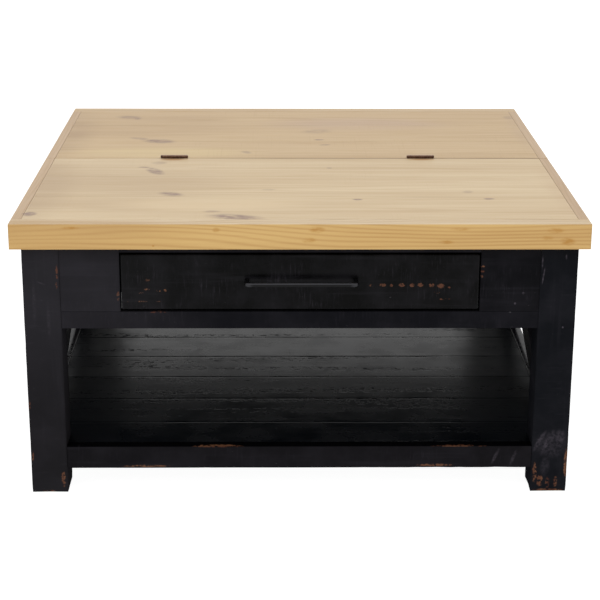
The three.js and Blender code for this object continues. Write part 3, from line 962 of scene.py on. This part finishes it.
# Main colour, colour of the blotches, and a paler colour painted on the top faces as a painted
# highlight.
HINGE_RUST_AND_HIGHLIGHT = (rgb(70, 42, 26), rgb(112, 82, 62), rgb(170, 146, 128))
IRON_AND_HIGHLIGHT = (rgb(8, 8, 9), rgb(13, 13, 14), rgb(10, 10, 11))
# Grey of the painted highlight on the pull.
PULL_HIGHLIGHT_GREY = rgb(52, 52, 55)


def pull_highlight(n, colour):
    """Painted highlight on the pull: a paler grey along its front upper edge and at both of its
    bends.
    """
    rim = n.along(2, pull_high.z - 2.2 * MM, pull_high.z - 1.4 * MM)
    left = n.along(0, pull_low.x + 15 * MM, pull_low.x + 6 * MM)
    right = n.along(0, pull_high.x - 15 * MM, pull_high.x - 6 * MM)
    bends = n.times(n.math("ADD", left, right), 0.7)
    at_front = n.along(1, pull_low.y + 5 * MM, pull_low.y + 2 * MM)
    mask = n.times(n.math("MAXIMUM", rim, bends), at_front)
    return n.mix(mask, colour, PULL_HIGHLIGHT_GREY)


def metal(name, base, worn, upward, roughness, metallic, scale, specular=0.5, highlight_painter=None):
    """Painted or rusted metal with a fine cast texture.

    upward is a paler colour painted on its top faces as a painted highlight, scale is how many
    blotches there are to a metre, and the function passed last paints highlights where light
    catches the metal.
    """
    n = Nodes(name)
    blotches = n.noise(n.place(), scale, 4.0, 0.65)
    pores = n.noise(n.place(), scale * 6, 3.0, 0.6)
    colour = n.mix(n.step(blotches, 0.4, 0.7), base, worn)
    # Painted highlight: a paler colour on the faces that look up, broken by the blotches.
    dust_and_sheen = n.times(n.facing_up(), n.step(blotches, 0.3, 0.6, 0.5, 0.9))
    colour = n.mix(dust_and_sheen, colour, upward)
    n.put(n.shader.inputs["Base Color"], highlight_painter(n, colour) if highlight_painter else colour)
    n.put(n.shader.inputs["Roughness"], n.step(pores, 0.2, 0.8, roughness - 0.08, roughness + 0.12))
    n.put(n.shader.inputs["Normal"], n.bump(pores, 0.12 * MM, 0.5))
    n.shader.inputs["Metallic"].default_value = metallic
    n.shader.inputs["Specular IOR Level"].default_value = specular
    return n.material


hinge_steel = metal("rusted hinge steel", *HINGE_RUST_AND_HIGHLIGHT, roughness=0.5, metallic=0.45, scale=260.0)
black_iron = metal(
    "black iron",
    *IRON_AND_HIGHLIGHT,
    roughness=0.3,
    metallic=0.0,
    scale=120.0,
    specular=0.12,
    highlight_painter=pull_highlight,
)

# ---------------------------------------------------------------- the boards

LEAN = {"rising": 1, "falling": -1}
BRACE_FOOT = 124 * MM


def brace_tilt(node):
    """The angle of a brace arm above the horizontal, from the space it crosses.

    An arm is cut level at both ends, and the length of one cut is no part of the slope.
    """
    low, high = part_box(node)
    lean = LEAN[node.rsplit("_", 1)[1]]
    return lean * math.atan2(high.z - low.z, high.y - low.y - BRACE_FOOT)


def dress(node):
    """Chooses the finish, grain and wear of a board by what it is."""
    slot = slots[node]
    low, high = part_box(node)
    size = high - low
    grain = "xyz"[max(range(3), key=lambda i: size[i])]
    if slot == "pine_top" and "plank" in node:
        wood = pine_lid if node.startswith("lid") else pine_top
        worn_board(node, grain, wood, step=30, wear=0.3, chips=0.1, pith=(10, -35))
    elif slot == "pine_top":
        worn_board(node, grain, pine_side, step=20, wear=0.3, chips=0.3, pith=(-50, 15))
    elif slot == "pine_edging":
        wood = edging_back if node.startswith("lid") else edging_front
        worn_board(node, grain, wood, step=20, wear=0.3, chips=0.3, pith=(20, -70))
    elif slot == "bare_pine":
        worn_board(node, grain, bare_pine, step=40, wear=0.4, chips=0.1, pith=(15, -45))
    elif node.startswith("leg_"):
        paint = front_paint(node) if node in FRONT_COATS_AND_LIGHT else paint_plain
        worn_board(node, "z", paint, step=10, wear=0.5, chips=0.5, pith=(40, 45), foot=1.2)
    elif node.startswith("side_brace"):
        worn_board(node, "y", paint_plain, step=14, tilt=brace_tilt(node))
    elif node.startswith("shelf_plank"):
        worn_board(node, "x", shelf_paint(node), step=25, wear=0.5, chips=0.5)
    elif node in FRONT_COATS_AND_LIGHT:
        wear = 0.6 if node == "front_rail" else 0.15
        worn_board(node, "x", front_paint(node), step=12, wear=wear, chips=0.4)
    elif node.startswith("side_rail"):
        worn_board(node, "y", paint_rails, step=16, wear=0.5, chips=0.4)
    else:
        worn_board(node, grain, paint_plain, step=25)


METAL_FINISH = {"hinge_steel": hinge_steel, "black_iron": black_iron}

for node_name in sorted(frame["nodes"]):
    if slots[node_name] in METAL_FINISH:
        cad_object = frame["nodes"][node_name]
        cad_object.data.materials.clear()
        cad_object.data.materials.append(METAL_FINISH[slots[node_name]])
        smooth(cad_object.data)
        cad_object.modifiers.new("weighted normals", "WEIGHTED_NORMAL")
    else:
        dress(node_name)

# ---------------------------------------------------------------- the pull

PULL_DEEP = 8 * MM
PULL_CORNER = 1.6 * MM
PULL_BEND = 9 * MM
BEND_STEPS = 8


def swept(name, path, section, material):
    """A closed bar along a level path of (point, size) pairs, with an (inward, up) section."""
    vertices = []
    count = len(section)
    for index, (point, size) in enumerate(path):
        before = path[max(index - 1, 0)][0]
        after = path[min(index + 1, len(path) - 1)][0]
        inward = Vector((0, 0, 1)).cross(after - before).normalized()
        for u, v in section:
            vertices.append(point + inward * u * size + Vector((0, 0, v * size)))
    faces = [tuple(range(count)), tuple(range(len(vertices) - count, len(vertices)))]
    for ring in range(len(path) - 1):
        for i in range(count):
            near = ring * count
            far = near + count
            other = (i + 1) % count
            faces.append((near + i, near + other, far + other, far + i))
    mesh = bpy.data.meshes.new(name)
    mesh.from_pydata([tuple(v) for v in vertices], [], faces)
    bm = bmesh.new()
    bm.from_mesh(mesh)
    bmesh.ops.recalc_face_normals(bm, faces=bm.faces)
    bm.to_mesh(mesh)
    bm.free()
    smooth(mesh)
    piece = new_piece(name, mesh, material)
    piece.modifiers.new("weighted normals", "WEIGHTED_NORMAL")
    return piece


def rounded_section(deep, tall, radius):
    """A rectangle with round corners, from 0 to deep inward and centred in height."""
    section = []
    for start, (u, v) in enumerate(((1, 1), (0, 1), (0, 0), (1, 0))):
        for i in range(4):
            angle = math.radians(90 * start + 30 * i)
            centre_u = deep - radius if u else radius
            centre_v = tall / 2 - radius if v else radius - tall / 2
            corner = (radius * math.cos(angle), radius * math.sin(angle))
            section.append((centre_u + corner[0], centre_v + corner[1]))
    return section


def bend_run(side, middle_x, half, front, back, level):
    """One end of the pull, from its foot on the drawer round the bend to the middle of the bar."""
    run = [(Vector((middle_x + side * half, back - t * MM, level)), 1.0) for t in (0, 2, 9)]
    for i in range(BEND_STEPS + 1):
        angle = math.radians(90 * i / BEND_STEPS)
        x = middle_x + side * (half - PULL_BEND + PULL_BEND * math.cos(angle))
        y = front + PULL_BEND - PULL_BEND * math.sin(angle)
        run.append((Vector((x, y, level)), 1.0 - 0.12 * math.sin(angle * 2)))
    for share in (0.85, 0.6, 0.3):
        run.append((Vector((middle_x + side * half * share, front, level)), 1 - 0.08 * share))
    return run


def pull():
    """A flat iron bar bent back at both ends, a little slimmer at the bends than in the middle."""
    middle = (pull_low + pull_high) / 2
    half = (pull_high.x - pull_low.x) / 2
    ends = [bend_run(side, middle.x, half, pull_low.y, pull_high.y, middle.z) for side in (-1, 1)]
    path = ends[0] + [(Vector((middle.x, pull_low.y, middle.z)), 1.0)] + ends[1][::-1]
    section = rounded_section(PULL_DEEP, pull_high.z - pull_low.z, PULL_CORNER)
    piece = swept("drawer_pull_bar", path, section, black_iron)
    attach(piece, frame["nodes"]["drawer_pull"]["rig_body"])
    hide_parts("drawer_pull")


pull()

# ---------------------------------------------------------------- screws

# Radius of each kind of screw head, and how far it stands out of its face.
HINGE_SCREW = (2.6 * MM, 0.12 * MM)
PULL_SCREW = (4.2 * MM, 1.8 * MM)

# Places of a hinge leaf's screws, across from its middle and down from the top, in millimetres.
HINGE_SCREW_PLACES = ((-16, 8), (0, 13), (16, 8))
LEAF_FACE_FROM_SEAM = 0.25 * MM
PULL_SCREW_INSET = 3.1 * MM


def screw_head(name, place, facing, size, node, material):
    """A low slotted screw head on a face, standing out towards facing (+1 or -1 along Y)."""
    radius, rise = size
    bm = bmesh.new()
    bmesh.ops.create_cone(
        bm, cap_ends=True, segments=20, radius1=radius, radius2=radius * 0.78, depth=rise
    )
    slot_half = radius * 0.14
    cut_across(bm, 0, [-slot_half, slot_half])
    bm.normal_update()
    caps = [f for f in bm.faces if f.normal.z > 0.99]
    slot = [f for f in caps if abs(f.calc_center_median().x) < slot_half]
    bmesh.ops.inset_region(bm, faces=slot, thickness=slot_half * 0.1, depth=-rise * 0.6)
    turn = Matrix.Rotation(-facing * math.pi / 2, 4, "X")
    shift = Matrix.Translation(place + Vector((0, facing * rise / 2, 0)))
    bmesh.ops.transform(bm, matrix=shift @ turn, verts=bm.verts)
    mesh = bpy.data.meshes.new(name)
    bm.to_mesh(mesh)
    bm.free()
    piece = new_piece(name, mesh, material)
    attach(piece, frame["nodes"][node]["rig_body"])


def hinge_screws():
    """Three screws in each hinge leaf, on the face that meets the other leaf."""
    for word in ("left", "right"):
        for leaf, facing in (("fixed", 1), ("lid", -1)):
            node = f"hinge_{word}_{leaf}_leaf"
            low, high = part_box(node)
            middle_x = (low.x + high.x) / 2
            face_y = MIDDLE_Y - facing * LEAF_FACE_FROM_SEAM
            for index, (across, down) in enumerate(HINGE_SCREW_PLACES):
                name = f"{node}_screw_{index + 1}"
                place = Vector((middle_x + across * MM, face_y, TOP_Z - down * MM))
                screw_head(name, place, facing, HINGE_SCREW, node, hinge_steel)


def pull_screws():
    """The two screws that hold the pull, seen inside the drawer."""
    level = (pull_low.z + pull_high.z) / 2
    left = pull_low.x + PULL_SCREW_INSET
    right = pull_high.x - PULL_SCREW_INSET
    for word, x in (("left", left), ("right", right)):
        place = Vector((x, DRAWER_INNER_Y, level))
        screw_head(f"pull_screw_{word}", place, 1, PULL_SCREW, "drawer_pull", black_iron)


hinge_screws()
pull_screws()

# ---------------------------------------------------------------- floor, light and camera

FLOOR_REACH = 30.0
FLOOR_GLOW = 0.95
LIGHT_SIZE = 1.8
LIGHT_TARGET = (0, 0, 0.3)

# Where the camera stands, and how it is turned, in degrees: down, right and about its own axis.
CAMERA_PLACE = Vector((-0.0345, MIDDLE_Y - 2.9768, 1.1515))
CAMERA_PITCH = 17.873
CAMERA_YAW = 0.771
CAMERA_ROLL = 0.199
CAMERA_LENS = 100.23
CAMERA_SENSOR = 36


def studio_floor():
    """A plain pale floor that glows a little, so that it stays even."""
    reach = FLOOR_REACH
    corners = [(-reach, -reach, 0), (reach, -reach, 0), (reach, reach, 0), (-reach, reach, 0)]
    mesh = bpy.data.meshes.new("studio_floor")
    mesh.from_pydata(corners, [], [(0, 1, 2, 3)])
    n = Nodes("pale floor")
    n.shader.inputs["Base Color"].default_value = (0.3, 0.3, 0.3, 1)
    n.shader.inputs["Roughness"].default_value = 1.0
    n.shader.inputs["Specular IOR Level"].default_value = 0.0
    n.shader.inputs["Emission Color"].default_value = (1, 1, 1, 1)
    n.shader.inputs["Emission Strength"].default_value = FLOOR_GLOW
    floor = new_piece("studio_floor", mesh, n.material)


def soft_light(name, place, power):
    """A large round lamp that shines on the middle of the table."""
    light = bpy.data.lights.new(name, "AREA")
    light.shape = "DISK"
    light.size = LIGHT_SIZE
    light.energy = power
    lamp = bpy.data.objects.new(name, light)
    lamp.location = place
    towards = Vector(LIGHT_TARGET) - Vector(place)
    lamp.rotation_euler = towards.to_track_quat("-Z", "Y").to_euler()
    bpy.context.scene.collection.objects.link(lamp)


def studio_world(strength):
    """Even white light from all sides."""
    world = bpy.data.worlds.new("studio")
    world.use_nodes = True
    background = world.node_tree.nodes["Background"]
    background.inputs["Color"].default_value = (1, 1, 1, 1)
    background.inputs["Strength"].default_value = strength
    bpy.context.scene.world = world


def camera():
    """A long lens a little above the table, turned a touch to the right."""
    pitch = math.radians(CAMERA_PITCH)
    yaw = math.radians(CAMERA_YAW)
    roll = math.radians(CAMERA_ROLL)
    level = Vector((math.sin(yaw), math.cos(yaw), 0))
    forward = level * math.cos(pitch) - Vector((0, 0, math.sin(pitch)))
    right = Vector((math.cos(yaw), -math.sin(yaw), 0))
    up = right.cross(forward)
    turned_right = math.cos(roll) * right + math.sin(roll) * up
    turned_up = math.cos(roll) * up - math.sin(roll) * right
    data = bpy.data.cameras.new("camera")
    data.lens = CAMERA_LENS
    data.sensor_width = CAMERA_SENSOR
    data.clip_end = 100
    view = bpy.data.objects.new("camera", data)
    turn = Matrix((turned_right, turned_up, -forward)).transposed().to_4x4()
    view.matrix_world = Matrix.Translation(CAMERA_PLACE) @ turn
    bpy.context.scene.collection.objects.link(view)
    bpy.context.scene.camera = view


studio_floor()
studio_world(1.0)
soft_light("key", (-1.9, -2.4, 2.6), 22)
soft_light("fill", (2.2, -1.8, 1.8), 6)
camera()
bpy.context.scene.view_settings.view_transform = "Standard"
